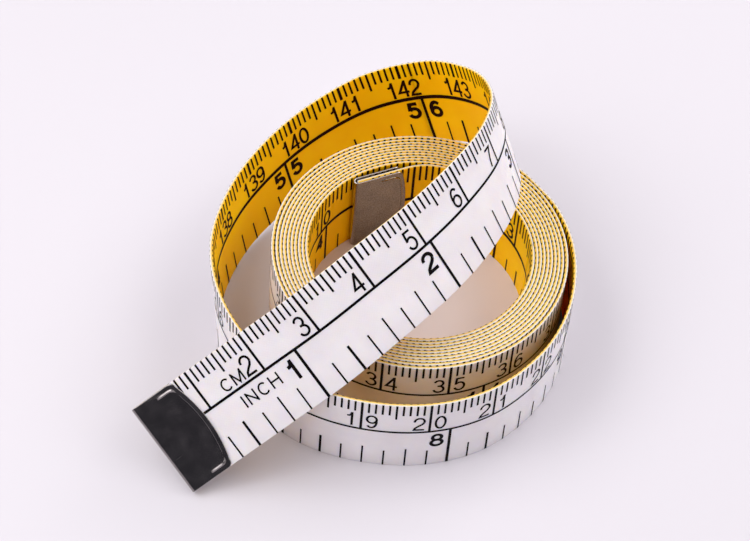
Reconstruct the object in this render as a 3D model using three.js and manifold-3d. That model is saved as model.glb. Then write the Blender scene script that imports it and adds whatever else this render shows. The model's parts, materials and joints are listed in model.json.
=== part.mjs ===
// Cloth tape measure, lying as it was put down. Most of the tape is wound in a flat coil that
// stands on its lower edge. The outermost turn has sprung loose: it stands round the coil,
// climbs behind it and comes back over it as the free end. Each end of the tape is held in a
// folded metal tip. Millimetres and degrees, +Z up.
//
// Along the tape, "along" points from the outer tip to the inner one, anticlockwise seen from
// above; "across" points to the upper edge; "face" points out of the outer face.

import * as THREE from "three";
import Module from "manifold-3d";
import { mergeVertices } from "three/addons/utils/BufferGeometryUtils.js";

const wasm = await Module();
wasm.setup();

// Tape
const tapeLength = 1524; // 60 inches from fold to fold
const tapeWidth = 15;
const tapeThickness = 0.14; // the core of the cloth, so that the real number of turns keeps its gaps
const turnGap = 0.43; // air between two turns of the coil

// Coil
const boreRadius = 16.787; // to the inner face of the innermost turn
const unwindBearing = 45; // where the outermost turn leaves the coil
const stepsPerTurn = 30;

// Loose turn and free end, from the coil outwards. Each station has its bearing round the coil's
// axis, its reach outside the coil's outermost turn, its lift above the standing height and the
// lean of its upper edge away from the axis.
const looseStations = [
  [unwindBearing, 0, 0, 0],
  [26, 0.25, 0, 0],
  [4, 0.65, 0, 0],
  [-20, 1.6, 0, 0],
  [-42, 3.1, 0, 0],
  [-64, 4.9, 0, 0],
  [-84, 6.2, 0, 0],
  [-104, 7.3, 0, 0],
  [-122, 8.3, 0, 0],
  [-141, 8.7, 0, 0],
  [-159, 8.7, 0, 2],
  [-177, 8.2, 0, 6],
  [-196, 7.2, 0.2, 9.5],
  [-215, 6.6, 1.1, 13.5],
  [-234, 7.1, 2.5, 14.5],
  [-252.5, 7.9, 4.8, 14.5],
  [-270, 7.1, 8.2, 8.5],
  [-286.5, 3.5, 12.5, -5],
  [-303, -2.2, 16.7, -19],
  [-324.5, -9.8, 19.4, -28],
  [-374.5, -15.8, 20.4, -37],
  [-444.5, -12.5, 19.9, -44],
  [-469.5, -4, 17.8, -48.5],
  [-480, 4.1, 13.9, -50],
  [-487.5, 10.9, 8.5, -50],
  [-493, 18.8, 2.4, -50.5],
];
const looseStep = 3; // length of one flat facet of the loose tape

// Where the tape is parted into stretches that swing
const freeEndLength = 76; // from the outer fold to the bend it swings about
const innerEndArc = 9; // wound tape that swings with the inner tip
const stretchGap = 0.3;

// Run of the tape inside the coil, from the last turn into the inner tip
const innerBendStep = 1.5;
const innerBendSteps = 2;
const innerRunTurn = 28; // how far the tip points in from the coil's tangent
const tipRun = 9.5; // straight tape at each end, in the tip

// Folded metal tips
const plateThickness = 0.3;
const tipClearance = 0.15; // between the plate and each face of the tape
const tipSideLength = 7.75; // fold to plate edge, at the tape's edges
const tipArchRise = 1.05; // how much longer the plate is along its middle
const tipCornerRadius = 0.8;
const foldFacets = 8;

const clothColour = 0xe8e4e0;
const metalColour = 0x8f8a84;

const turnPitch = tapeThickness + turnGap;
const stepAngle = (2 * Math.PI) / stepsPerTurn;
const standingHeight = tapeWidth / 2;
const up = new THREE.Vector3(0, 0, 1);
const radians = THREE.MathUtils.degToRad;

// A point at a bearing round the coil's axis.
function polar(bearing, radius, height) {
  const angle = radians(bearing);
  return new THREE.Vector3(radius * Math.cos(angle), radius * Math.sin(angle), height);
}

// The tape's place and directions at one point of its middle line.
function frame(middle, along, lean = 0) {
  const upright = up.clone().addScaledVector(along, -along.z).normalize();
  const across = upright.applyAxisAngle(along, radians(lean));
  const face = new THREE.Vector3().crossVectors(along, across);
  return { middle, along, across, face };
}

// The four corners of the tape's section at a frame.
function sectionAt({ middle, across, face }) {
  const corner = (side, edge) =>
    middle
      .clone()
      .addScaledVector(face, (side * tapeThickness) / 2)
      .addScaledVector(across, (edge * tapeWidth) / 2);
  return [corner(1, -1), corner(1, 1), corner(-1, 1), corner(-1, -1)];
}

// A closed strip through sections that follow each other along the tape. Both faces are split
// along the same diagonal, so that the strip keeps its thickness where it twists.
function stripGeometry(sections) {
  const corners = sections[0].length;
  const indices = [];
  for (let ring = 0; ring + 1 < sections.length; ring++) {
    for (let corner = 0; corner < corners; corner++) {
      const next = (corner + 1) % corners;
      const a = ring * corners + corner;
      const b = ring * corners + next;
      if (corner < corners / 2) {
        indices.push(a, a + corners, b + corners, a, b + corners, b);
      } else {
        indices.push(a, a + corners, b, b, a + corners, b + corners);
      }
    }
  }
  const last = (sections.length - 1) * corners;
  indices.push(0, 1, 2, 0, 2, 3, last, last + 2, last + 1, last, last + 3, last + 2);
  const geometry = new THREE.BufferGeometry().setFromPoints(sections.flat());
  geometry.setIndex(indices);
  geometry.computeVertexNormals();
  return geometry;
}

// Distances from one end of a stretch to the other, in equal steps near a wanted length.
function evenSteps(from, to, wanted) {
  const count = Math.ceil((to - from) / wanted);
  return Array.from({ length: count + 1 }, (_, i) => from + ((to - from) * i) / count);
}

// Angles from one end of a wound stretch to the other, in whole steps of a turn, so that the
// facets of all turns lie face to face.
function turnSteps(from, to) {
  const angles = [from];
  for (let step = Math.floor(from / stepAngle) + 1; step * stepAngle < to; step++) {
    angles.push(step * stepAngle);
  }
  return [...angles, to];
}

// Coil: a spiral whose length is what the loose tape and the inner end leave over.
const innermostRadius = boreRadius + tapeThickness / 2;

// Angle that a spiral of this length goes through, from the bore outwards.
function spiralAngle(length) {
  const growth = turnPitch / (2 * Math.PI);
  return (Math.sqrt(innermostRadius ** 2 + 2 * growth * length) - innermostRadius) / growth;
}

// Loose route for a coil of a given outer radius: curves through the stations, and a table of
// distances along it.
function looseRoute(outerRadius) {
  const points = looseStations.map(([bearing, reach, lift]) =>
    polar(bearing, outerRadius + reach, standingHeight + lift),
  );
  const leans = looseStations.map(([, , , lean]) => new THREE.Vector3(lean, 0, 0));
  const path = new THREE.CatmullRomCurve3(points, false, "catmullrom");
  const lean = new THREE.CatmullRomCurve3(leans, false, "catmullrom");
  path.arcLengthDivisions = 40 * points.length;
  return { path, lean, curved: path.getLength(), length: path.getLength() + tipRun };
}

// The outer radius depends on the wound length, and that on the loose route, so a few passes
// settle the two.
const settlingPasses = 12;
const innerBend = innerBendStep * innerBendSteps;
let woundAngle = spiralAngle(tapeLength);
let coilRadius = innermostRadius + (woundAngle * turnPitch) / (2 * Math.PI);
let route = looseRoute(coilRadius);
for (let pass = 0; pass < settlingPasses; pass++) {
  woundAngle = spiralAngle(tapeLength - route.length - innerBend - tipRun);
  coilRadius = innermostRadius + (woundAngle * turnPitch) / (2 * Math.PI);
  route = looseRoute(coilRadius);
}

// Frame on the spiral, at an angle wound inwards from where the tape leaves the coil.
function coilFrame(angle) {
  const radius = coilRadius - (angle * turnPitch) / (2 * Math.PI);
  const bearing = unwindBearing + THREE.MathUtils.radToDeg(angle);
  return frame(polar(bearing, radius, standingHeight), polar(bearing + 90, 1, 0));
}

// Frame on the loose tape, at a distance from where it leaves the coil.
function looseFrame(distance) {
  const u = route.path.getUtoTmapping(0, Math.min(distance, route.curved));
  const outwards = route.path.getTangent(u);
  const past = Math.max(distance - route.curved, 0);
  const middle = route.path.getPoint(u).addScaledVector(outwards, past);
  return frame(middle, outwards.negate(), route.lean.getPoint(u).x);
}

// Frames of the inner end, from the coil to the inner fold.
function innerEndFrames(fromAngle) {
  const frames = [];
  for (const angle of turnSteps(fromAngle, woundAngle)) {
    frames.push(coilFrame(angle));
  }
  let { middle, along } = frames.at(-1);
  for (let bend = 1; bend <= innerBendSteps + 1; bend++) {
    const turned = along.clone().applyAxisAngle(up, radians((innerRunTurn * bend) / (innerBendSteps + 1)));
    const run = bend <= innerBendSteps ? innerBendStep : tipRun;
    middle = middle.clone().addScaledVector(turned, run);
    frames.push(frame(middle, turned));
  }
  return frames;
}

// Tip: a plate folded over the end of the tape. It is drawn with its fold at the origin, the tape
// leaving along +X and the tape's width along Y.
const tipSlot = tapeThickness + 2 * tipClearance;
const tipThickness = tipSlot + 2 * plateThickness;

// Outline of the flat plate: square at the fold, arched towards the tape.
function plateOutline() {
  const half = tapeWidth / 2;
  const outline = new THREE.Shape();
  outline.moveTo(0, -half);
  outline.lineTo(tipSideLength - tipCornerRadius, -half);
  outline.quadraticCurveTo(tipSideLength, -half, tipSideLength, -half + tipCornerRadius);
  outline.quadraticCurveTo(
    tipSideLength + 2 * tipArchRise,
    0,
    tipSideLength,
    half - tipCornerRadius,
  );
  outline.quadraticCurveTo(tipSideLength, half, tipSideLength - tipCornerRadius, half);
  outline.lineTo(0, half);
  return outline;
}

// Side view of the fold: two leaves joined by a half round bend.
function foldProfile() {
  const reach = tipSideLength + 2 * tipArchRise;
  const outer = tipThickness / 2;
  const inner = tipSlot / 2;
  const profile = new THREE.Shape();
  profile.moveTo(reach, outer);
  profile.lineTo(outer, outer);
  profile.absarc(outer, 0, outer, Math.PI / 2, (3 * Math.PI) / 2, false);
  profile.lineTo(reach, -outer);
  profile.lineTo(reach, -inner);
  profile.lineTo(outer, -inner);
  profile.absarc(outer, 0, inner, (3 * Math.PI) / 2, Math.PI / 2, true);
  profile.lineTo(reach, inner);
  return profile;
}

// A three.js geometry as a solid that can be cut.
function solid(geometry) {
  geometry.deleteAttribute("normal");
  geometry.deleteAttribute("uv");
  const merged = mergeVertices(geometry);
  return new wasm.Manifold(
    new wasm.Mesh({
      numProp: 3,
      vertProperties: new Float32Array(merged.attributes.position.array),
      triVerts: new Uint32Array(merged.index.array),
    }),
  );
}

// A solid back as a three.js geometry.
function geometryOf(manifold) {
  const mesh = manifold.getMesh();
  const geometry = new THREE.BufferGeometry();
  geometry.setAttribute("position", new THREE.BufferAttribute(new Float32Array(mesh.vertProperties), 3));
  geometry.setIndex(new THREE.BufferAttribute(new Uint32Array(mesh.triVerts), 1));
  geometry.computeVertexNormals();
  return geometry;
}

function tipGeometry() {
  const cutMargin = 1;
  const plate = new THREE.ExtrudeGeometry(plateOutline(), {
    depth: tipThickness + 2 * cutMargin,
    bevelEnabled: false,
    curveSegments: foldFacets,
  });
  plate.translate(0, 0, -tipThickness / 2 - cutMargin);
  const fold = new THREE.ExtrudeGeometry(foldProfile(), {
    depth: tapeWidth + 2 * cutMargin,
    bevelEnabled: false,
    curveSegments: foldFacets,
  });
  fold.rotateX(Math.PI / 2);
  fold.translate(0, tapeWidth / 2 + cutMargin, 0);
  return geometryOf(solid(plate).intersect(solid(fold)));
}

// Stretches of the tape
const setBack = stretchGap / 2;
const tapeInFold = plateThickness + tipClearance; // the tape stops short of the fold's outside
const innerEndAngle = stepAngle * Math.round((woundAngle - innerEndArc / innermostRadius) / stepAngle);
const swingDistance = route.length - freeEndLength;

const coilAngles = turnSteps(setBack / coilRadius, innerEndAngle - setBack / innermostRadius);
const coilFrames = coilAngles.map(coilFrame);

const loopFrames = evenSteps(setBack, swingDistance - setBack, looseStep).map(looseFrame).reverse();

const freeEndFrames = evenSteps(swingDistance + setBack, route.curved, looseStep).map(looseFrame);
freeEndFrames.push(looseFrame(route.length - tapeInFold));
freeEndFrames.reverse();

const innerFrames = innerEndFrames(innerEndAngle + setBack / innermostRadius);
const innerFold = innerFrames.at(-1);
const innerTapeEnd = { ...innerFold, middle: innerFold.middle.clone() };
innerTapeEnd.middle.addScaledVector(innerFold.along, -tapeInFold);
innerFrames.splice(-1, 1, innerTapeEnd);

// Assembly
const cloth = new THREE.MeshStandardMaterial({ color: clothColour, roughness: 0.75, metalness: 0 });
const metal = new THREE.MeshStandardMaterial({ color: metalColour, roughness: 0.35, metalness: 1 });
const tapeMeasure = new THREE.Group();

function addMesh(name, geometry, material) {
  const mesh = new THREE.Mesh(geometry, material);
  mesh.name = name;
  tapeMeasure.add(mesh);
  return mesh;
}

// Sets a tip over a fold, with its plate running back along the tape.
function addTip(name, fold, towardsTape) {
  const tip = addMesh(name, tipGeometry(), metal);
  const face = new THREE.Vector3().crossVectors(towardsTape, fold.across);
  tip.quaternion.setFromRotationMatrix(new THREE.Matrix4().makeBasis(towardsTape, fold.across, face));
  tip.position.copy(fold.middle);
}

const strip = (frames) => stripGeometry(frames.map(sectionAt));
addMesh("tape_coil", strip(coilFrames), cloth);
addMesh("tape_loop", strip(loopFrames), cloth);
addMesh("tape_free_end", strip(freeEndFrames), cloth);
addMesh("tape_inner_end", strip(innerFrames), cloth);
const outerFold = looseFrame(route.length);
addTip("outer_tip", outerFold, outerFold.along);
addTip("inner_tip", innerFold, innerFold.along.clone().negate());

// The origin is under the middle of the whole object, on the surface that it stands on.
const box = new THREE.Box3().setFromObject(tapeMeasure, true);
const middle = box.getCenter(new THREE.Vector3());
tapeMeasure.position.set(-middle.x, -middle.y, -box.min.z);

// Least gap from the coil to itself, from each corner of a turn to the faces of the next turn out.
function leastTurnGap() {
  const flat = (v) => new THREE.Vector2(v.x, v.y);
  const sections = coilFrames.map(sectionAt);
  const outer = sections.map((section) => flat(section[0]));
  const inner = sections.map((section) => flat(section[3]));
  const segmentDistance = (point, a, b) => {
    const edge = b.clone().sub(a);
    const share = THREE.MathUtils.clamp(point.clone().sub(a).dot(edge) / edge.lengthSq(), 0, 1);
    return point.distanceTo(a.clone().addScaledVector(edge, share));
  };
  let least = Infinity;
  for (let i = stepsPerTurn - 2; i < outer.length; i++) {
    for (let j = Math.max(0, i - stepsPerTurn - 2); j <= i - stepsPerTurn + 2; j++) {
      least = Math.min(least, segmentDistance(outer[i], inner[j], inner[j + 1]));
      if (i + 1 < outer.length) {
        least = Math.min(least, segmentDistance(inner[j], outer[i], outer[i + 1]));
      }
    }
  }
  return least;
}

function placed(v) {
  return v.clone().add(tapeMeasure.position).toArray().map((n) => n.toFixed(3)).join(", ");
}

const swing = looseFrame(swingDistance);
const innerSwing = coilFrame(innerEndAngle);
const facetMiddle = coilFrames[1].middle.clone().lerp(coilFrames[2].middle, 0.5).setZ(0);
console.log("turns in the coil", (woundAngle / (2 * Math.PI)).toFixed(2));
console.log("outer radius of the coil", coilRadius.toFixed(2), "loose tape", route.length.toFixed(1));
console.log("least gap from the coil to itself", leastTurnGap().toFixed(3));
console.log("coil axis", placed(new THREE.Vector3()), "stands on", placed(facetMiddle));
console.log("free end swings about", placed(swing.middle), "along", swing.across.toArray().join(", "));
console.log("inner end swings about", placed(innerSwing.middle));

export default tapeMeasure;
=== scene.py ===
import bpy
import bmesh
import json
import math
import numpy as np
from mathutils import Matrix, Vector

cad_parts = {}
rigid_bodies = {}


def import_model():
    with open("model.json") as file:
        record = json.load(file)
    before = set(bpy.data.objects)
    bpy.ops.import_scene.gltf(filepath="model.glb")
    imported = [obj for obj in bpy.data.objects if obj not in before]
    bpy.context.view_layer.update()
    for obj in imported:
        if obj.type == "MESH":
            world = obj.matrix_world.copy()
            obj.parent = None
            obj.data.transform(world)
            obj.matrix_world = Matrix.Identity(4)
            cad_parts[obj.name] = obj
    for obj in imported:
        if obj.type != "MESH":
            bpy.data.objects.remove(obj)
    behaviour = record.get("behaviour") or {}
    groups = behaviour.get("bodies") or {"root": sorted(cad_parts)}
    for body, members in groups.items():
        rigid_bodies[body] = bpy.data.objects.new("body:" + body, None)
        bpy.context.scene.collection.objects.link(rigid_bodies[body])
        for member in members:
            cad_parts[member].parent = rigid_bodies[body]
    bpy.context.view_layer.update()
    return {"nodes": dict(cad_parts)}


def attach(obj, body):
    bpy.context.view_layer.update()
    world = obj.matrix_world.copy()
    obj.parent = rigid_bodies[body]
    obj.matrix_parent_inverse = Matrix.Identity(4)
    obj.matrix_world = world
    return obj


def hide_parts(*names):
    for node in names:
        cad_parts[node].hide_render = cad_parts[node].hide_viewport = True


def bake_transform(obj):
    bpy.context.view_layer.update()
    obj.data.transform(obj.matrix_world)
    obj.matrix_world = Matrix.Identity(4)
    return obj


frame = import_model()
mm = 0.001
inch = 25.4  # mm
print("frame loaded:", ", ".join(frame["nodes"]))


# sRGB hex to the linear colour that the shaders want
def linear(hexColour):
    channels = [int(hexColour[i:i + 2], 16) / 255 for i in (1, 3, 5)]
    return [c / 12.92 if c <= 0.04045 else ((c + 0.055) / 1.055) ** 2.4 for c in channels] + [1.0]


# adds a node, with its settings, and values or links for its inputs
def addNode(tree, kind, inputs=None, **settings):
    node = tree.nodes.new(kind)
    for key, value in settings.items():
        setattr(node, key, value)
    for socket, value in (inputs or {}).items():
        if isinstance(value, bpy.types.NodeSocket):
            tree.links.new(value, node.inputs[socket])
        else:
            node.inputs[socket].default_value = value
    return node


def newMaterial(name):
    material = bpy.data.materials.new(name)
    material.use_nodes = True
    tree = material.node_tree
    tree.nodes.clear()
    return material, tree


def newObject(name, mesh):
    obj = bpy.data.objects.new(name, mesh)
    bpy.context.scene.collection.objects.link(obj)
    return obj


# camera at the photograph's angle, worked out from the printed marks
viewpoint = {
    "target": (1.739, 10.196, 0),  # mm, on the floor
    "distance": 396.06,  # mm
    "elevation": 51.34,  # degrees above the floor
    "roll": 4.98,  # degrees
    "focal": 2517.1,  # in pixels of a 750 pixel wide picture
}


def makeCamera(v):
    lift, roll = math.radians(v["elevation"]), math.radians(v["roll"])
    back = Vector((0, -math.cos(lift), math.sin(lift)))
    level, up = Vector((1, 0, 0)), Vector((0, math.sin(lift), math.cos(lift)))
    right = math.cos(roll) * level + math.sin(roll) * up
    top = math.cos(roll) * up - math.sin(roll) * level
    data = bpy.data.cameras.new("camera")
    data.sensor_width = 36
    data.lens = v["focal"] / 750 * 36
    data.clip_start, data.clip_end = 0.01, 20
    camera = bpy.data.objects.new("camera", data)
    bpy.context.scene.collection.objects.link(camera)
    place = (Vector(v["target"]) + back * v["distance"]) * mm
    turn = Matrix((right, top, back)).transposed().to_4x4()
    camera.matrix_world = Matrix.Translation(place) @ turn
    bpy.context.scene.camera = camera


makeCamera(viewpoint)

# the tape's route, in mm, as in the CAD: a flat coil, a loose outer turn and a free end over the coil
route = {
    "length": 1524,  # 60 inches from fold to fold
    "width": 15,
    "axis": (8.387, 3.135),  # of the coil
    "innerRadius": 16.857,  # middle of the innermost turn
    "pitch": 0.57,  # from turn to turn
    "ripple": (0.008, 0.37),  # mm, and per radian, so that some turns lie closer than others
    "slack": 0.1,  # mm that the outermost turns stand off the rest
    "slackTurns": 2,  # over which they ease off
    "unwind": 45,  # bearing where the outermost turn leaves the coil
    "tipRun": 9.5,  # straight tape at each end
    "innerBend": 3,
    "innerEase": 0.75,  # the bend begins this much early and ends this much late
    "innerTurn": 28,  # degrees that the inner end points in
    "innerStride": 0.1,  # mm
    "stationPoints": 60,  # from station to station
    # bearing, reach outside the coil, lift above standing height, lean of the upper edge outwards
    "stations": [
        (45, 0, 0, 0), (26, 0.25, 0, 0), (4, 0.65, 0, 0), (-20, 1.6, 0, 0), (-42, 3.1, 0, 0),
        (-64, 4.9, 0, 0), (-84, 6.2, 0, 0), (-104, 7.3, 0, 0), (-122, 8.3, 0, 0), (-141, 8.7, 0, 0),
        (-159, 8.7, 0, 2), (-177, 8.2, 0, 6), (-196, 7.2, 0.2, 9.5), (-215, 6.6, 1.1, 13.5),
        (-234, 7.1, 2.5, 14.5), (-252.5, 7.9, 4.8, 14.5), (-270, 7.1, 8.2, 8.5),
        (-286.5, 3.5, 12.5, -5), (-303, -2.2, 16.7, -19), (-324.5, -9.8, 19.4, -28),
        (-374.5, -15.8, 20.4, -37), (-444.5, -12.5, 19.9, -44), (-469.5, -4, 17.8, -48.5),
        (-480, 4.1, 13.9, -50), (-487.5, 10.9, 8.5, -50), (-493, 18.8, 2.4, -50.5),
    ],
}


# smooth curve through points, with so many steps in each gap
def curveThrough(points, perGap):
    points = np.vstack([2 * points[0] - points[1], points, 2 * points[-1] - points[-2]])
    rows = []
    for i in range(1, len(points) - 2):
        a, b, c, d = points[i - 1:i + 3]
        t = np.linspace(0, 1, perGap, endpoint=False)[:, None]
        slopeB, slopeC = (c - a) / 2, (d - b) / 2
        rows.append(b + slopeB * t + (3 * (c - b) - 2 * slopeB - slopeC) * t ** 2
                    + (2 * (b - c) + slopeB + slopeC) * t ** 3)
    rows.append(points[-2][None])
    return np.vstack(rows)


# the loose turn and free end, outwards from the coil, and the length gone at each point
def loosePath(r, coilRadius):
    rows = []
    for bearing, reach, lift, lean in r["stations"]:
        angle = math.radians(bearing)
        radius = coilRadius + reach
        rows.append((radius * math.cos(angle), radius * math.sin(angle), r["width"] / 2 + lift, lean))
    fine = curveThrough(np.array(rows), r["stationPoints"])
    gone = np.concatenate([[0], np.cumsum(np.linalg.norm(np.diff(fine[:, :3], axis=0), axis=1))])
    return fine, gone


# middle point, along, across and face directions at distances from the outer fold
def layTape(r):
    growth = r["pitch"] / (2 * math.pi)
    wound = 1.0
    for _ in range(12):  # coil size and loose length settle each other
        coilRadius = r["innerRadius"] + wound * growth
        fine, gone = loosePath(r, coilRadius)
        loose = gone[-1] + r["tipRun"]
        spiral = r["length"] - loose - r["innerBend"] - r["tipRun"]
        wound = (math.sqrt(r["innerRadius"] ** 2 + 2 * growth * spiral) - r["innerRadius"]) / growth
    coilRadius = r["innerRadius"] + wound * growth
    print("turns in the coil", round(wound / (2 * math.pi), 2), "loose tape", round(loose, 1), "mm")

    slope = np.gradient(fine, gone, axis=0)
    end = r["length"] - r["innerBend"] - r["tipRun"]  # of the spiral
    standOff = r["slackTurns"] * 2 * math.pi
    turnIn = math.radians(r["innerTurn"])
    bendRun = r["innerBend"] + 2 * r["innerEase"]

    def place(distances):
        middle, along, lean = [], [], []
        for s in distances:
            out = loose - s  # measured outwards from the coil
            if out >= 0:
                d = min(out, gone[-1])
                row = [np.interp(d, gone, fine[:, k]) for k in range(4)]
                way = np.array([np.interp(d, gone, slope[:, k]) for k in range(3)])
                way /= np.linalg.norm(way)
                middle.append(np.array(row[:3]) + way * max(out - gone[-1], 0))
                along.append(-way)
                lean.append(math.radians(row[3]))
                continue
            inward = min(s, end) - loose
            angle = (coilRadius - math.sqrt(coilRadius ** 2 - 2 * growth * inward)) / growth
            calm = min(angle, wound - angle, 2 * math.pi) / (2 * math.pi)  # none at the ends of the coil
            sway = r["ripple"][0] * calm * math.sin(r["ripple"][1] * angle)
            apart = min(angle / standOff, 1)
            apart = apart * apart * (3 - 2 * apart) * min((wound - angle) / (wound - standOff), 1)
            radius = coilRadius - angle * growth + sway - r["slack"] * apart
            bearing = math.radians(r["unwind"]) + angle
            point = np.array([radius * math.cos(bearing), radius * math.sin(bearing), r["width"] / 2])
            heading = bearing + math.pi / 2
            # the last bit turns in evenly, then runs straight into its tip
            for step in np.arange(0, max(s - end, 0), r["innerStride"]):
                bit = min(r["innerStride"], s - end - step)
                bend = heading + turnIn * min((step + bit / 2 + r["innerEase"]) / bendRun, 1)
                point = point + bit * np.array([math.cos(bend), math.sin(bend), 0])
            heading += turnIn * min(max((s - end + r["innerEase"]) / bendRun, 0), 1)
            middle.append(point)
            along.append(np.array([math.cos(heading), math.sin(heading), 0]))
            lean.append(0.0)
        middle, along, lean = np.array(middle), np.array(along), np.array(lean)[:, None]
        up = np.array([0, 0, 1]) - along * along[:, 2:3]
        up /= np.linalg.norm(up, axis=1)[:, None]
        across = up * np.cos(lean) + np.cross(along, up) * np.sin(lean)
        middle = middle + np.array([r["axis"][0], r["axis"][1], 0])
        return middle, along, across, np.cross(along, across)

    return place


placeTape = layTape(route)

# the woven strip: two coats on one cloth, with rounded edges
strip = {
    "thickness": 0.48,
    "edgeRound": 0.12,
    "ringStep": 1.1,  # mm from ring to ring
    "inFold": 0.6,  # the cloth stops this far short of each fold
    "freeSplit": 102,  # mm from the outer fold, where the free end's piece begins
    "innerSplit": 1488,  # where the inner end's piece begins
    "inkHeight": 0.03,
}


# half of the section, from the middle of the lower edge round one face to the middle of the upper
# edge: across and out of the face, and how far each point is along the half
def halfSection(p, width, grow=0.0):
    half, out, r = width / 2, p["thickness"] / 2, p["edgeRound"]
    turns = np.radians([0, 30, 60, 90])
    corner = [(half - r + r * math.sin(a), out - r + r * math.cos(a)) for a in turns]
    upper = corner + [(half, 0)]
    middle = [(x, out) for x in np.linspace(-half + r, half - r, 7)[1:-1]]
    rows = np.array([(-x, y) for x, y in reversed(upper)] + middle + upper)
    spans = np.linalg.norm(np.diff(rows, axis=0), axis=1)
    down = np.concatenate([[0], np.cumsum(spans)])
    down += width / 2 - down[-1] / 2  # so that a flat width of 0 to 15 lies on the face
    if grow:
        turned = half - r * 0.6  # past here a corner looks sideways more than forwards
        lift = [(np.sign(x) * (abs(x) > turned), 1.0 * (abs(x) < half)) for x, y in rows]
        rows = rows + grow * np.array(lift)
    return rows, down


# rings of the section at distances along the tape, for one face (side 1 white, -1 yellow)
def faceRings(distances, p, side, grow=0.0):
    middle, along, across, face = placeTape(distances)
    rows, down = halfSection(p, route["width"], grow)
    sideways = across[:, None] * rows[None, :, :1]
    outwards = face[:, None] * side * rows[None, :, 1:]
    return (middle[:, None] + sideways + outwards) * mm, down * mm


def ringDistances(start, end, step):
    return np.linspace(start, end, max(2, int(math.ceil((end - start) / step)) + 1))


# one closed piece of tape, with the flat print's coordinates as its UV map
def tapePiece(name, start, end, materials):
    p = strip
    distances = ringDistances(start, end, p["ringStep"])
    outer, down = faceRings(distances, p, 1)
    inner, _ = faceRings(distances, p, -1)
    n, k = len(distances), len(down)
    loop = np.concatenate([outer, inner[:, ::-1][:, 1:-1]], axis=1)  # once round the section
    m = loop.shape[1]
    faces, uvs, slots = [], [], []
    for i in range(n - 1):
        for j in range(m):
            j2 = (j + 1) % m
            faces.append((i * m + j, (i + 1) * m + j, (i + 1) * m + j2, i * m + j2))
            white = j < k - 1
            slots.append(0 if white else 1)
            a, b = (down[j], down[j + 1]) if white else (down[2 * k - 2 - j], down[2 * k - 3 - j])
            u1, u2 = distances[i] * mm, distances[i + 1] * mm
            if not white:
                u1, u2 = route["length"] * mm - u1, route["length"] * mm - u2
            uvs += [(u1, a), (u2, a), (u2, b), (u1, b)]
    for ring, turn in ((0, 1), (n - 1, -1)):
        faces.append([ring * m + j for j in range(m)][::turn])
        slots.append(0)
        uvs += [(0, 0)] * m
    mesh = bpy.data.meshes.new(name)
    mesh.from_pydata(loop.reshape(-1, 3).tolist(), [], faces)
    layer = mesh.uv_layers.new(name="flat")
    layer.data.foreach_set("uv", np.array(uvs, np.float32).ravel())
    for material in materials:
        mesh.materials.append(material)
    mesh.polygons.foreach_set("material_index", slots)
    mesh.polygons.foreach_set("use_smooth", [True] * (len(faces) - 2) + [False] * 2)
    mesh.update()
    return newObject(name, mesh)


# open sheet just above one face of the whole tape, which the print is laid on
def printSheet(name, side):
    p = strip
    distances = ringDistances(p["inFold"], route["length"] - p["inFold"], p["ringStep"])
    points, down = faceRings(distances, p, side, p["inkHeight"])
    n, k = len(distances), len(down)
    along = distances if side > 0 else route["length"] - distances
    faces, uvs = [], []
    for i in range(n - 1):
        for j in range(k - 1):
            quad = [(i, j), (i + 1, j), (i + 1, j + 1), (i, j + 1)]
            faces.append([a * k + b for a, b in (quad if side > 0 else quad[::-1])])
            uvs += [(along[a] * mm, down[b]) for a, b in (quad if side > 0 else quad[::-1])]
    mesh = bpy.data.meshes.new(name)
    mesh.from_pydata(points.reshape(-1, 3).tolist(), [], faces)
    mesh.uv_layers.new(name="flat").data.foreach_set("uv", np.array(uvs, np.float32).ravel())
    return newObject(name, mesh)


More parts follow.
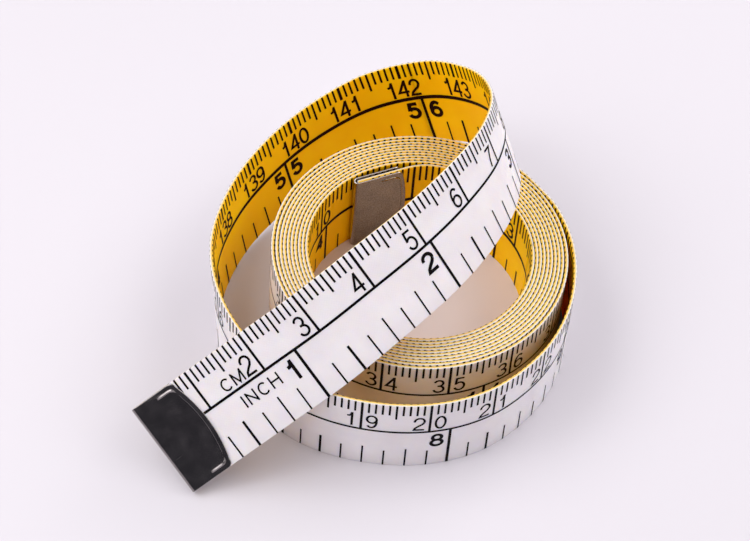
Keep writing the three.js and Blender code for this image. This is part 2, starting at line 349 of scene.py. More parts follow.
# PVC coat on woven cloth, calendered: an even matt-satin colour with the weave just showing
# through, a little grubby in patches, and raw fibres where the edge was slit
def coatMaterial(name, colours, edgeColour, edgeFrom, gloss):
    thread = 0.5 * mm  # thread spacing
    patch = 6 * mm  # size of the faint patches
    fibre = 0.12 * mm  # fibres of the slit edge
    fade = 0.12  # mm over which the coat gives way to the slit edge
    seep = 0.8 * mm  # how far light wanders inside, so that a thin wall glows a little
    material, tree = newMaterial(name)
    flat = addNode(tree, "ShaderNodeUVMap", uv_map="flat").outputs[0]
    apart = addNode(tree, "ShaderNodeSeparateXYZ", {0: flat})
    waves = []
    for axis in (0, 1):
        turns = addNode(tree, "ShaderNodeMath", {
            0: apart.outputs[axis], 1: 2 * math.pi / thread}, operation="MULTIPLY")
        wave = addNode(tree, "ShaderNodeMath", {0: turns.outputs[0]}, operation="SINE")
        waves.append(wave.outputs[0])
    weave = addNode(tree, "ShaderNodeMath", {0: waves[0], 1: waves[1]}, operation="MULTIPLY")
    patches = addNode(tree, "ShaderNodeTexNoise", {"Vector": flat, "Scale": 1 / patch, "Detail": 3.0})
    fibres = addNode(tree, "ShaderNodeTexNoise", {"Vector": flat, "Scale": 1 / fibre, "Detail": 2.0})
    tone = addNode(tree, "ShaderNodeValToRGB", {0: patches.outputs[0]})
    dim, clear = tone.color_ramp.elements
    dim.position, clear.position = 0.35, 0.7
    dim.color, clear.color = linear(colours[0]), linear(colours[1])
    # 1 on the slit edges, 0 on the face
    half = route["width"] / 2
    fromMiddle = addNode(tree, "ShaderNodeMath", {
        0: apart.outputs[1], 1: half * mm}, operation="SUBTRACT")
    reach = addNode(tree, "ShaderNodeMath", {0: fromMiddle.outputs[0]}, operation="ABSOLUTE")
    slit = addNode(tree, "ShaderNodeMapRange", {
        0: reach.outputs[0], 1: (half + edgeFrom) * mm, 2: (half + edgeFrom + fade) * mm})
    patchy = addNode(tree, "ShaderNodeMapRange", {0: fibres.outputs[0], 1: 0.3, 2: 0.6, 3: 0.55, 4: 1.0})
    frayed = addNode(tree, "ShaderNodeMath", {
        0: slit.outputs[0], 1: patchy.outputs[0]}, operation="MULTIPLY")
    colour = addNode(tree, "ShaderNodeMix", {
        0: frayed.outputs[0], 6: tone.outputs[0], 7: linear(edgeColour)}, data_type="RGBA")
    rough = addNode(tree, "ShaderNodeMapRange", {0: patches.outputs[0], 3: 0.42, 4: 0.58})
    height = addNode(tree, "ShaderNodeMath", {
        0: weave.outputs[0], 1: 0.5, 2: frayed.outputs[0]}, operation="MULTIPLY_ADD")
    bump = addNode(tree, "ShaderNodeBump", {
        "Height": height.outputs[0], "Strength": 0.12, "Distance": 0.05 * mm})
    shader = addNode(tree, "ShaderNodeBsdfPrincipled", {
        "Base Color": colour.outputs[2], "Roughness": rough.outputs[0], "Normal": bump.outputs[0],
        "Specular IOR Level": gloss, "IOR": 1.52,
        "Subsurface Weight": 0.5, "Subsurface Scale": seep, "Subsurface Radius": (1.0, 0.75, 0.4)})
    addNode(tree, "ShaderNodeOutputMaterial", {0: shader.outputs[0]})
    return material


whiteCoat = coatMaterial("whitePvcCoatedCloth", ("#e1dbdf", "#e8e3e6"), "#dfc78e", 0.0, 0.2)
yellowCoat = coatMaterial("yellowPvcCoatedCloth", ("#fdbd00", "#ffc700"), "#dcb768", -0.07, 0.06)
coats = (whiteCoat, yellowCoat)
freeEnd = tapePiece("tapeFreeEnd", strip["inFold"], strip["freeSplit"], coats)
wound = tapePiece("tapeWound", strip["freeSplit"], strip["innerSplit"], coats)
innerEnd = tapePiece("tapeInnerEnd", strip["innerSplit"], route["length"] - strip["inFold"], coats)
print("tape laid:", sum(len(o.data.polygons) for o in (freeEnd, wound, innerEnd)), "faces")


# screen printing ink: nearly black, thin and even, a touch glossier than the coat, thinner in places,
# where the coat under it shows
def inkMaterial(name, tones):
    speck = 0.4 * mm  # size of the thin places
    material, tree = newMaterial(name)
    place = addNode(tree, "ShaderNodeTexCoord").outputs["Object"]
    thin = addNode(tree, "ShaderNodeTexNoise", {"Vector": place, "Scale": 1 / speck, "Detail": 2.0})
    tone = addNode(tree, "ShaderNodeValToRGB", {0: thin.outputs[0]})
    full, faint = tone.color_ramp.elements
    full.position, faint.position = 0.45, 0.85
    full.color, faint.color = linear(tones[0]), linear(tones[1])
    rough = addNode(tree, "ShaderNodeMapRange", {0: thin.outputs[0], 3: 0.4, 4: 0.55})
    shader = addNode(tree, "ShaderNodeBsdfPrincipled", {
        "Base Color": tone.outputs[0], "Roughness": rough.outputs[0], "Specular IOR Level": 0.05})
    addNode(tree, "ShaderNodeOutputMaterial", {0: shader.outputs[0]})
    return material


# what the printing plate carries, in mm: centimetres along the upper edge, inches along the lower
marks = {
    "first": 3, "last": 1521,  # the print runs in under both plates
    "lastCm": 151, "inches": 60,
    "dividerFrom": 8.9,
    "dividerDown": 6.5, "dividerThick": 0.4,  # the line between the two scales
    "dividerBit": 1.02,  # laid mm by mm, each bit a little longer so that they join
    "mmLong": 2.3, "mmThick": 0.31, "halfCmLong": 3.25, "cmThick": 0.38,
    "hundredsLong": 2.4, "hundredsThick": 0.45,  # centimetre ticks from 100 on stay short
    "eighthLong": 3.7, "quarterLong": 4.3, "eighthThick": 0.26, "quarterThick": 0.38, "inchThick": 0.44,
    "cmFigure": 3.2, "cmFoot": 6.0, "cmStroke": 0.11,
    "cmAlone": 1.7, "cmBeside": 1.55, "cmSpacing": 1.95,  # places of one, two and three figures
    "inchFigure": 3.2, "inchFoot": 10.45, "inchBeside": 1.9, "inchStroke": 0.165, "inchWiden": 1.13,
    "unitFigure": 2.0, "unitStroke": 0.13,
    "cmUnit": (13.98, 16.1), "inchUnit": (14.65, 16.05, 18.15, 20.3), "inchUnitFoot": 9.55,
    "overEdge": (-0.02, 0.04),  # ink that ran round the slit edge, from the white and the yellow face
    "swell": ((1.0, 1.0, 1.0), (1.1, 1.2, 1.6)),  # ink spread in ticks, figures and divider, face by face
    # the yellow print runs askew at its start: distance along the scale, and how far down it is there
    "askew": (((0, 1), (0, 0)), ((0, 30, 100, 170), (1.0, 0.85, 0.4, 0))),
}

# plain figures and unit letters as pen strokes, one high: an arc is (middle, radii, from, to in
# degrees), anything else is a line: whether its ends are squared off, and then its points
penStrokes = {
    "0": [((0, 0.5), (0.226, 0.5), 0, 360)],
    "1": [(True, (0.06, 0), (0.06, 1)),
          (False, (-0.17, 0.735), (-0.07, 0.75), (0.01, 0.82), (0.045, 0.99))],
    "2": [((0, 0.72), (0.226, 0.28), 188, -22),
          (False, (0.21, 0.615), (0.12, 0.46), (-0.05, 0.31), (-0.185, 0.16), (-0.235, 0), (0.235, 0))],
    "3": [((-0.005, 0.755), (0.2, 0.245), 165, -68), (False, (-0.06, 0.522), (0.06, 0.522)),
          ((0, 0.262), (0.23, 0.262), 76, -168)],
    "4": [(False, (0.1, 0.99), (-0.245, 0.265), (0.26, 0.265)), (True, (0.115, 0), (0.115, 1))],
    "5": [(False, (0.2, 1), (-0.145, 1), (-0.185, 0.49)), ((0, 0.325), (0.228, 0.325), 143, -163)],
    "6": [((0.005, 0.3), (0.222, 0.3), 0, 360), ((0.02, 0.5), (0.237, 0.5), 46, 196)],
    "7": [(False, (-0.23, 1), (0.232, 1), (0.09, 0.72), (-0.02, 0.42), (-0.075, 0.16), (-0.095, -0.04))],
    "8": [((0, 0.757), (0.188, 0.243), 0, 360), ((0, 0.268), (0.228, 0.268), 0, 360)],
    "9": [((-0.005, 0.7), (0.222, 0.3), 0, 360), ((-0.02, 0.5), (0.237, 0.5), -134, 16)],
    "C": [((0.02, 0.5), (0.36, 0.5), 44, 316)],
    "M": [(True, (-0.4, 0), (-0.4, 1)), (True, (0.4, 0), (0.4, 1)),
          (False, (-0.38, 0.98), (0, 0.03), (0.38, 0.98))],
    "I": [(True, (0, 0), (0, 1))],
    "N": [(True, (-0.33, 0), (-0.33, 1)), (True, (0.33, 0), (0.33, 1)),
          (False, (-0.32, 0.98), (0.32, 0.02))],
    "H": [(True, (-0.36, 0), (-0.36, 1)), (True, (0.36, 0), (0.36, 1)),
          (True, (-0.32, 0.52), (0.32, 0.52))],
}


def strokePoints(stroke):
    if not isinstance(stroke[0], tuple):
        return np.array(stroke[1:], float)
    (x, y), (across, tall), start, end = stroke
    steps = max(5, int(abs(end - start) / 20))  # of 20 degrees or so
    turns = np.radians(np.linspace(start, end, steps + 1))
    return np.column_stack([x + across * np.cos(turns), y + tall * np.sin(turns)])


# flat ribbon along one stroke, mitred at its corners
def addRibbon(bm, stroke, wide, widen):
    path = strokePoints(stroke) * (widen, 1)
    path[:, 1] = wide / 2 + path[:, 1] * (1 - wide)
    closed = np.linalg.norm(path[0] - path[-1]) < 1e-6
    ways = np.diff(path, axis=0)
    ways /= np.linalg.norm(ways, axis=1)[:, None]
    if stroke[0] is True:
        path[0] -= ways[0] * wide / 2
        path[-1] += ways[-1] * wide / 2
    before = np.vstack([ways[-1:] if closed else ways[:1], ways])
    after = np.vstack([ways, ways[:1] if closed else ways[-1:]])
    turn = before + after
    turn /= np.linalg.norm(turn, axis=1)[:, None]
    blunt = 0.35  # so that a sharp corner isn't drawn out to a spike
    spread = wide / 2 / np.maximum((turn * before).sum(1), blunt)[:, None]
    side = np.column_stack([-turn[:, 1], turn[:, 0]]) * spread
    left = [bm.verts.new((x, y, 0)) for x, y in path + side]
    right = [bm.verts.new((x, y, 0)) for x, y in path - side]
    for i in range(len(path) - 1):
        face = bm.faces.new((right[i], right[i + 1], left[i + 1], left[i]))
        face.normal_update()
        if face.normal.z < 0:
            face.normal_flip()


# a collection of flat glyphs, each one high: light and bold figures, unit letters and a plain bar
def makeGlyphs(m, swell):
    glyphs = bpy.data.collections.new("glyphs")
    bpy.context.scene.collection.children.link(glyphs)
    sets = (("light", "0123456789", m["cmStroke"], 1),
            ("bold", "0123456789", m["inchStroke"], m["inchWiden"]),
            ("unit", "CMINH", m["unitStroke"], 1))
    order = {}

    def keep(key, mesh):
        order[key] = len(order)
        glyphs.objects.link(bpy.data.objects.new("glyph%02d" % order[key], mesh))

    for style, letters, wide, widen in sets:
        for letter in letters:
            bm = bmesh.new()
            for stroke in penStrokes[letter]:
                addRibbon(bm, stroke, wide * swell[1], widen)
            mesh = bpy.data.meshes.new("glyph")
            bm.to_mesh(mesh)
            bm.free()
            keep((style, letter), mesh)
    bar = bpy.data.meshes.new("bar")
    bar.from_pydata([(-0.5, 0, 0), (0.5, 0, 0), (0.5, 1, 0), (-0.5, 1, 0)], [], [(0, 1, 2, 3)])
    keep("bar", bar)
    return glyphs, order


# every mark as its place on the flat tape, its glyph and its scale; height runs up from the lower edge
def layMarks(m, order, overEdge, swell, askew):
    rows = []
    top = route["width"]

    # where the flat of the face ends and the rounded edge turns over
    turns = [strip["edgeRound"] * (1 - k * math.pi / 6) for k in range(4)]
    folds = sorted(turns + [top - fold for fold in turns])

    # a mark that reaches a slit edge is cut there, and only its other end moves
    def bar(u, low, high, thick):
        down = np.interp(u, *askew)
        low = low - down if low > 0 else low
        high = high - down if high < top - 1 else high
        if m["first"] <= u <= m["last"]:
            steps = [low] + [fold for fold in folds if low < fold < high] + [high]
            for a, b in zip(steps, steps[1:]):
                rows.append((u, a, order["bar"], thick, b - a))

    def figure(u, foot, style, letter, size):
        rows.append((u, top - foot - np.interp(u, *askew), order[style, letter], size, size))

    divider = top - m["dividerDown"]
    ends = math.floor(m["dividerFrom"]), math.ceil(route["length"] - m["dividerFrom"])
    halfLine = m["dividerThick"] * swell[2] / 2
    for k in range(*ends):
        bar(k + 0.5, divider - halfLine, divider + halfLine, m["dividerBit"])
    for k in range(m["first"], m["last"] + 1):
        long, thick = m["mmLong"], m["mmThick"]
        if k % 10 == 0 and k < 1000:
            long, thick = m["dividerDown"], m["cmThick"]
        elif k % 10 == 0:
            long, thick = m["hundredsLong"], m["hundredsThick"]
        elif k % 5 == 0:
            long = m["halfCmLong"]
        bar(k, top - long, top + overEdge, thick * swell[0])
    for k in range(1, 8 * m["inches"]):
        u, thick = k * inch / 8, m["eighthThick"]
        high = m["eighthLong"] if k % 2 else m["quarterLong"]
        if k % 8 == 2 or k == 4:
            thick = m["quarterThick"]
        if k % 8 == 0:
            high, thick = divider, m["inchThick"]
        bar(u, 0, high, thick * swell[0])
    for n in range(2, m["lastCm"] + 1):
        digits = str(n)
        if n < 10:
            spots = [-m["cmAlone"]]
        elif n < 100:
            spots = [-m["cmBeside"], m["cmBeside"]]
        else:
            spots = [-m["cmSpacing"], 0, m["cmSpacing"]]
        for spot, digit in zip(spots, digits):
            figure(10 * n + spot, m["cmFoot"], "light", digit, m["cmFigure"])
    for n in range(1, m["inches"]):
        digits = str(n)
        spots = [-m["inchBeside"]] if n < 10 else [-m["inchBeside"], m["inchBeside"]]
        for spot, digit in zip(spots, digits):
            figure(inch * n + spot, m["inchFoot"], "bold", digit, m["inchFigure"])
    for letter, u in zip("CM", m["cmUnit"]):
        figure(u, m["cmFoot"], "unit", letter, m["unitFigure"])
    for letter, u in zip("INCH", m["inchUnit"]):
        figure(u, m["inchUnitFoot"], "unit", letter, m["unitFigure"])
    return rows


# tree that sets a glyph on each point of the flat layout and wraps the lot onto a face of the tape
def printTree():
    tree = bpy.data.node_groups.new("printOnTape", "GeometryNodeTree")
    inputs = {"Layout": "Geometry", "Tape face": "Object", "Glyphs": "Collection", "Ink": "Material"}
    for name, kind in inputs.items():
        tree.interface.new_socket(name, in_out="INPUT", socket_type="NodeSocket" + kind)
    tree.interface.new_socket("Print", in_out="OUTPUT", socket_type="NodeSocketGeometry")
    given = addNode(tree, "NodeGroupInput")
    glyph = addNode(tree, "GeometryNodeInputNamedAttribute", {"Name": "glyph"}, data_type="INT")
    size = addNode(tree, "GeometryNodeInputNamedAttribute", {"Name": "size"}, data_type="FLOAT_VECTOR")
    flat = addNode(tree, "GeometryNodeInputNamedAttribute", {"Name": "flat"}, data_type="FLOAT_VECTOR")
    shapes = addNode(tree, "GeometryNodeCollectionInfo", {
        "Collection": given.outputs["Glyphs"], "Separate Children": True, "Reset Children": True})
    stamped = addNode(tree, "GeometryNodeInstanceOnPoints", {
        "Points": given.outputs["Layout"], "Instance": shapes.outputs[0], "Pick Instance": True,
        "Instance Index": glyph.outputs[0], "Scale": size.outputs[0]})
    loose = addNode(tree, "GeometryNodeRealizeInstances", {0: stamped.outputs[0]})
    face = addNode(tree, "GeometryNodeObjectInfo", {"Object": given.outputs["Tape face"]})
    spot = addNode(tree, "GeometryNodeInputPosition")
    onTape = addNode(tree, "GeometryNodeSampleUVSurface", {
        "Mesh": face.outputs["Geometry"], "Value": spot.outputs[0],
        "Source UV Map": flat.outputs[0], "Sample UV": spot.outputs[0]}, data_type="FLOAT_VECTOR")
    wrapped = addNode(tree, "GeometryNodeSetPosition", {
        "Geometry": loose.outputs[0], "Position": onTape.outputs[0]})
    inked = addNode(tree, "GeometryNodeSetMaterial", {
        "Geometry": wrapped.outputs[0], "Material": given.outputs["Ink"]})
    addNode(tree, "NodeGroupOutput", {0: inked.outputs[0]})
    return tree


# some of the marks as one plain mesh on the sheet
def printPiece(name, rows, sheet, glyphs, tree, ink):
    layout = bpy.data.meshes.new(name + "Layout")
    layout.from_pydata([(u * mm, v * mm, 0) for u, v, _, _, _ in rows], [], [])
    layout.attributes.new("glyph", "INT", "POINT").data.foreach_set("value", [r[2] for r in rows])
    sizes = np.array([(r[3] * mm, r[4] * mm, 1) for r in rows], np.float32)
    layout.attributes.new("size", "FLOAT_VECTOR", "POINT").data.foreach_set("vector", sizes.ravel())
    maker = newObject(name + "Maker", layout)
    modifier = maker.modifiers.new("print", "NODES")
    modifier.node_group = tree
    items = tree.interface.items_tree
    sockets = {item.name: item.identifier for item in items if item.in_out == "INPUT"}
    modifier[sockets["Tape face"]] = sheet
    modifier[sockets["Glyphs"]] = glyphs
    modifier[sockets["Ink"]] = ink
    bpy.context.view_layer.update()
    made = maker.evaluated_get(bpy.context.evaluated_depsgraph_get())
    mesh = bpy.data.meshes.new_from_object(made)
    bpy.data.objects.remove(maker)
    mesh.name = name
    return newObject(name, mesh)


def makePrint():
    tree = printTree()
    inks = {"white": inkMaterial("blackScreenInk", ("#0a0809", "#181314")),
            "yellow": inkMaterial("blackScreenInkOnYellow", ("#1d0500", "#2c0e02"))}
    pieces = {"freeEnd": [], "wound": [], "innerEnd": []}
    faces = zip(("white", "yellow"), (1, -1), marks["overEdge"], marks["swell"], marks["askew"])
    for colour, side, overEdge, swell, askew in faces:
        glyphs, order = makeGlyphs(marks, swell)
        rows = layMarks(marks, order, overEdge, swell, askew)
        sheet = printSheet(colour + "Sheet", side)
        parted = {part: [] for part in pieces}
        for row in rows:
            s = row[0] if side > 0 else route["length"] - row[0]
            part = "wound"
            if s < strip["freeSplit"]:
                part = "freeEnd"
            elif s > strip["innerSplit"]:
                part = "innerEnd"
            parted[part].append(row)
        for part, some in parted.items():
            name = colour + "Print" + part[0].upper() + part[1:]
            pieces[part].append(printPiece(name, some, sheet, glyphs, tree, inks[colour]))
        bpy.data.objects.remove(sheet)
        for glyph in list(glyphs.objects):
            bpy.data.objects.remove(glyph)
        bpy.data.collections.remove(glyphs)
    return pieces


prints = makePrint()
print("print laid:", sum(len(o.data.polygons) for some in prints.values() for o in some), "faces")

# folded metal tip, in mm: x from the fold along the tape, y across it, z out of its white face
tip = {
    "side": 7.75,  # fold to plate edge at the tape's edges
    "rise": 1.05,  # longer by this along the middle
    "corner": 1.0,
    "plate": 0.24,
    "slot": 0.84,
    "edgeRound": 0.1,
    "thinnest": 0.25,  # of the plate's thickness, at its very sides
    "offTape": 0.14,  # the tape lies nearer to the plate that shows
    "crimp": (0.25, 0.05),  # radius of the pressed ridge along the sides, and along the arch
    "crimpInset": 0.7,  # of the ridge from the arched edge
    "ridge": [(4.4, 6.6), (5.5, 6.6), (6.5, 6.58), (6.95, 6.4)],  # along a side and round its corner
    "archHalf": 5.9,  # y where the ridge comes into the arch
    "ridgeFade": 0.5,  # over which it thins there
    "ridgeSink": 0.04,  # its middle lies this far below the face of the plate
    "ridgeEnd": 0.8,  # share of its radius at its two ends
    "ridgeHighlight": 1,  # painted highlight along the side ridges
    "crease": 40,  # degrees, shaded sharp from there on
}
# squarer, and with no painted highlight on its side ridges
innerTipShape = dict(tip, side=8.05, rise=0.75, crimp=(0.2, 0.14), ridgeHighlight=0)


# fold to plate edge, at a place across
def plateReach(t, y):
    half = route["width"] / 2
    inner = half - t["corner"]
    if abs(y) <= inner:
        return t["side"] + t["rise"] * (1 - (y / inner) ** 2)
    share = math.sqrt(max(half - abs(y), 0) / t["corner"])
    return t["side"] - t["corner"] * (1 - share) ** 2


# closed outline of the bent plate at one place across, as x and z
def foldOutline(t, y):
    half = route["width"] / 2
    inset = min((half - abs(y)) / t["edgeRound"], 1)
    thick = t["thinnest"] + (1 - t["thinnest"]) * math.sqrt(1 - (1 - inset) ** 2)
    wall = t["plate"] / 2 * thick
    bend = t["slot"] / 2 + t["plate"] / 2
    centre = t["slot"] / 2 + t["plate"]
    reach = plateReach(t, y)
    leaf = np.linspace(reach - wall, centre, 12)
    arc = np.linspace(math.pi / 2, 1.5 * math.pi, 13)[1:-1]

    def side(offset):
        run = [(x, bend + offset) for x in leaf]
        run += [(centre + (bend + offset) * math.cos(a), (bend + offset) * math.sin(a)) for a in arc]
        return run + [(x, -bend - offset) for x in leaf[::-1]]

    def nose(sign):
        angles = np.linspace(-math.pi / 2, math.pi / 2, 6)[1:-1]
        return [(reach - wall + wall * math.cos(a), sign * bend + wall * math.sin(a)) for a in angles]

    return side(wall) + nose(-1) + side(-wall)[::-1] + nose(1)


def tubeRows(path, radii, sides):
    ways = np.gradient(path, axis=0)
    rows = []
    for point, way, radius in zip(path, ways, radii):
        way = way / np.linalg.norm(way)
        over = np.array([-way[1], way[0], 0])
        rows.append([point + radius * (over * math.cos(a) + np.array([0, 0, 1]) * math.sin(a))
                     for a in np.linspace(0, 2 * math.pi, sides, endpoint=False)])
    return np.array(rows)


# closed skin over rings of points
def skin(bm, rows):
    rings = [[bm.verts.new(p) for p in row] for row in rows]
    for a, b in zip(rings, rings[1:]):
        for j in range(len(a)):
            k = (j + 1) % len(a)
            bm.faces.new((a[j], b[j], b[k], a[k])).smooth = True
    bm.faces.new(rings[0])
    bm.faces.new(rings[-1][::-1])


# one folded tip with its pressed ridge on both plates, set on its end of the tape
def tipPiece(name, fold, towards, across, material, t):
    half = route["width"] / 2
    bm = bmesh.new()
    rounding = [half - t["edgeRound"] * (1 - math.cos(a)) for a in np.linspace(0, math.pi / 2, 5)]
    corners = np.linspace(half - t["edgeRound"], half - t["corner"], 7)[1:]
    stations = rounding + list(corners) + list(np.linspace(half - t["corner"], 0, 13)[1:])
    stations = [-y for y in stations] + stations[-2::-1]
    skin(bm, [[(x, y, z) for x, z in foldOutline(t, y)] for y in stations])
    plateFaces = len(bm.faces)
    level = t["slot"] / 2 + t["plate"] - t["ridgeSink"]
    arch = [(plateReach(t, y) - t["crimpInset"], y) for y in np.linspace(t["archHalf"], 0, 7)]
    bend = t["ridge"] + arch
    bend = bend + [(x, -y) for x, y in bend[-2::-1]]
    bold = np.clip((np.abs([y for x, y in bend]) - t["archHalf"]) / t["ridgeFade"], 0, 1)
    for leaf in (1, -1):
        path = curveThrough(np.array([(x, y, leaf * level, b) for (x, y), b in zip(bend, bold)]), 3)
        radii = t["crimp"][1] + (t["crimp"][0] - t["crimp"][1]) * path[:, 3]
        radii[0] = radii[-1] = t["ridgeEnd"] * t["crimp"][0]
        skin(bm, tubeRows(path[:, :3], radii, 8))
    bmesh.ops.recalc_face_normals(bm, faces=bm.faces)
    flat = bm.loops.layers.uv.new("flat")
    paintedHighlight = bm.faces.layers.float.new("paintedHighlight")
    for k, face in enumerate(bm.faces):
        for loop in face.loops:
            loop[flat].uv = loop.vert.co.xy * mm
        # painted highlight on the edges, the fold and the sides' ridges, not on the flat of the plates
        beyond = abs(face.calc_center_median().y) > t["archHalf"]
        highlightShare = 1 if k < plateFaces else t["ridgeHighlight"] * beyond
        face[paintedHighlight] = highlightShare * (1 - abs(face.normal.z))
    place = np.column_stack([towards, across, np.cross(towards, across)])
    for v in bm.verts:
        v.co = Vector((place @ np.array((v.co.x, v.co.y, v.co.z - t["offTape"])) + fold) * mm)
    mesh = bpy.data.meshes.new(name)
    bm.to_mesh(mesh)
    bm.free()
    mesh.materials.append(material)
    mesh.set_sharp_from_angle(angle=math.radians(t["crease"]))
    return newObject(name, mesh)


# nickel on pressed steel: a warm grey mirror gone satin with use, grained by the rolling, with hair
# scratches along the tape and dull finger patches, and a painted highlight on its edges, fold and ridges
def nickelMaterial(name, tones, grainDepth, mottle):
    grain = 0.22 * mm  # coarser than the real 0.05 mm so that it shows
    scratch = 0.16 * mm  # apart from each other, and many times as long
    patch = 2.5 * mm  # finger patches
    # the second tone is a painted highlight, laid on the edges, the fold and the side ridges
    scratchTone, highlightTone = "#9a9491", "#d9d5d2"
    material, tree = newMaterial(name)
    flat = addNode(tree, "ShaderNodeUVMap", uv_map="flat").outputs[0]
    squeeze = addNode(tree, "ShaderNodeMapping", {0: flat, "Scale": (0.025, 1, 1)})
    lines = addNode(tree, "ShaderNodeTexNoise", {
        "Vector": squeeze.outputs[0], "Scale": 1 / scratch, "Detail": 1.0})
    hairs = addNode(tree, "ShaderNodeMapRange", {0: lines.outputs[0], 1: 0.68, 2: 0.82})
    grains = addNode(tree, "ShaderNodeTexNoise", {"Vector": flat, "Scale": 1 / grain, "Detail": 2.0})
    dull = addNode(tree, "ShaderNodeTexNoise", {"Vector": flat, "Scale": 1 / patch, "Detail": 4.0})
    speckle = addNode(tree, "ShaderNodeMapRange", {
        0: grains.outputs[0], 1: 0.3, 2: 0.7, 3: -mottle, 4: mottle})
    patchy = addNode(tree, "ShaderNodeMath", {
        0: dull.outputs[0], 1: speckle.outputs[0]}, operation="ADD", use_clamp=True)
    plate = addNode(tree, "ShaderNodeMix", {
        0: patchy.outputs[0], 6: linear(tones[0]), 7: linear(tones[1])}, data_type="RGBA")
    scratched = addNode(tree, "ShaderNodeMix", {
        0: hairs.outputs[0], 6: plate.outputs[2], 7: linear(scratchTone)}, data_type="RGBA")
    # painted highlight: the paler tone goes where the tip's attribute marks edges, fold and ridges
    paintedHighlight = addNode(tree, "ShaderNodeAttribute", attribute_name="paintedHighlight").outputs["Fac"]
    tone = addNode(tree, "ShaderNodeMix", {
        0: paintedHighlight, 6: scratched.outputs[2], 7: linear(highlightTone)}, data_type="RGBA")
    smooth = addNode(tree, "ShaderNodeMapRange", {0: dull.outputs[0], 1: 0.3, 2: 0.75, 3: 0.14, 4: 0.24})
    rough = addNode(tree, "ShaderNodeMath", {
        0: hairs.outputs[0], 1: 0.15, 2: smooth.outputs[0]}, operation="MULTIPLY_ADD")
    height = addNode(tree, "ShaderNodeMath", {
        0: hairs.outputs[0], 1: -0.5, 2: grains.outputs[0]}, operation="MULTIPLY_ADD")
    bump = addNode(tree, "ShaderNodeBump", {
        "Height": height.outputs[0], "Strength": grainDepth, "Distance": 0.03 * mm})
    shader = addNode(tree, "ShaderNodeBsdfPrincipled", {
        "Base Color": tone.outputs[2], "Metallic": 1.0, "Roughness": rough.outputs[0],
        "Normal": bump.outputs[0]})
    addNode(tree, "ShaderNodeOutputMaterial", {0: shader.outputs[0]})
    return material


nickel = nickelMaterial("nickelPlatedSteel", ("#696465", "#8e8788"), 0.12, 0.15)
dullNickel = nickelMaterial("dullNickelPlatedSteel", ("#776c5e", "#a0917f"), 0.4, 0.6)  # warmer, coarser
foldPoints, foldAlong, foldAcross, _ = placeTape([0, route["length"]])
outerTip = tipPiece("outerTip", foldPoints[0], foldAlong[0], foldAcross[0], nickel, tip)
innerTip = tipPiece("innerTip", foldPoints[1], -foldAlong[1], foldAcross[1], dullNickel, innerTipShape)
print("tips folded")

# what moves with what: the wound part goes on the coil's body and each tip on its own; the two ends'
# pieces keep their place unparented, and the bend places are looked up but not used
bends = {"freeEnd": (100, 52), "innerEnd": (1493, 1508)}  # mm along the tape


def bendPieces():
    for body, part, some in (("free_end", "freeEnd", [freeEnd]), ("inner_end", "innerEnd", [innerEnd])):
        start, end = placeTape(bends[part])[0] * mm
        for piece in some + prints[part]:
            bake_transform(piece)
    for piece in [wound] + prints["wound"]:
        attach(piece, "coil")
    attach(outerTip, "free_end")
    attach(innerTip, "inner_end")


bendPieces()
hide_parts("tape_free_end")
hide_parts("tape_coil", "tape_loop")
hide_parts("tape_inner_end")
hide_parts("outer_tip")
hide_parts("inner_tip")

# pale floor and soft studio light from all round, with a dark gap in it low on the front left
studio = {
    "floorHalf": 3,  # metres
    "floor": "#e6e2e7",  # as it lights the tape from below
    "floorSeen": "#d2cdd3",  # as it shows, short of clipping
    "world": "#f6f3f6",
    "worldStrength": 0.66,
    "gap": (-0.371, -0.846, 0.383),  # way to the middle of the dark gap
    "gapColour": "#6c6d75",
    "gapReach": (32, 50),  # degrees from its middle, where it begins and ends to lighten
    # name, place in mm, size in mm, watts
    "lamps": [
        ("left", (-308, 0, 394), 340, 1.15), ("backRight", (271, 271, 321), 340, 1.02),
        ("right", (308, 0, 394), 340, 0.54), ("frontLeft", (-264, -206, 372), 340, 0.85),
    ],
}


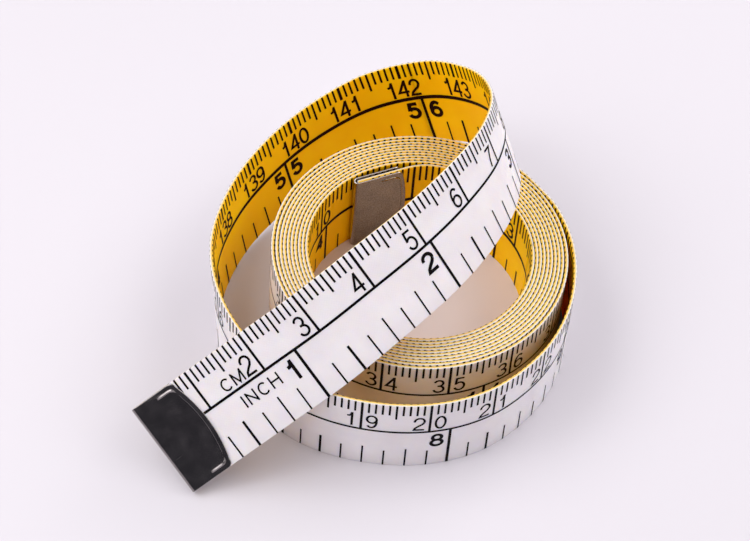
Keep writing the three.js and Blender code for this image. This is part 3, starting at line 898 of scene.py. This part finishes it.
def makeStudio(s):
    half = s["floorHalf"]
    corners = [(-half, -half, 0), (half, -half, 0), (half, half, 0), (-half, half, 0)]
    floorMesh = bpy.data.meshes.new("floor")
    floorMesh.from_pydata(corners, [], [(0, 1, 2, 3)])
    floor = newObject("floor", floorMesh)
    material, tree = newMaterial("paleFloor")
    ray = addNode(tree, "ShaderNodeLightPath").outputs
    direct = addNode(tree, "ShaderNodeMath", {
        0: ray["Is Camera Ray"], 1: ray["Is Glossy Ray"]}, operation="MAXIMUM")
    seen = addNode(tree, "ShaderNodeMath", {
        0: direct.outputs[0], 1: ray["Is Transmission Ray"]}, operation="MAXIMUM")
    tone = addNode(tree, "ShaderNodeMix", {
        0: seen.outputs[0], 6: linear(s["floor"]), 7: linear(s["floorSeen"])}, data_type="RGBA")
    shader = addNode(tree, "ShaderNodeBsdfPrincipled", {
        "Base Color": tone.outputs[2], "Roughness": 0.8, "Specular IOR Level": 0.2})
    addNode(tree, "ShaderNodeOutputMaterial", {0: shader.outputs[0]})
    floorMesh.materials.append(material)
    world = bpy.data.worlds.new("studio")
    bpy.context.scene.world = world
    world.use_nodes = True
    tree = world.node_tree
    tree.nodes.clear()
    way = addNode(tree, "ShaderNodeTexCoord").outputs["Generated"]
    near = addNode(tree, "ShaderNodeVectorMath", {
        0: way, 1: Vector(s["gap"]).normalized()}, operation="DOT_PRODUCT")
    inside, outside = [math.cos(math.radians(a)) for a in s["gapReach"]]
    inGap = addNode(tree, "ShaderNodeMapRange", {0: near.outputs["Value"], 1: outside, 2: inside},
                    interpolation_type="SMOOTHSTEP")
    sky = addNode(tree, "ShaderNodeMix", {
        0: inGap.outputs[0], 6: linear(s["world"]), 7: linear(s["gapColour"])}, data_type="RGBA")
    light = addNode(tree, "ShaderNodeBackground", {0: sky.outputs[2], 1: s["worldStrength"]})
    addNode(tree, "ShaderNodeOutputWorld", {0: light.outputs[0]})
    for name, place, size, watts in s["lamps"]:
        data = bpy.data.lights.new(name, "AREA")
        data.size, data.energy = size * mm, watts
        lamp = bpy.data.objects.new(name, data)
        bpy.context.scene.collection.objects.link(lamp)
        lamp.location = Vector(place) * mm
        lamp.rotation_euler = (-lamp.location).to_track_quat("-Z", "Y").to_euler()


makeStudio(studio)
bpy.context.scene.view_settings.view_transform = "Standard"
print("studio lit")
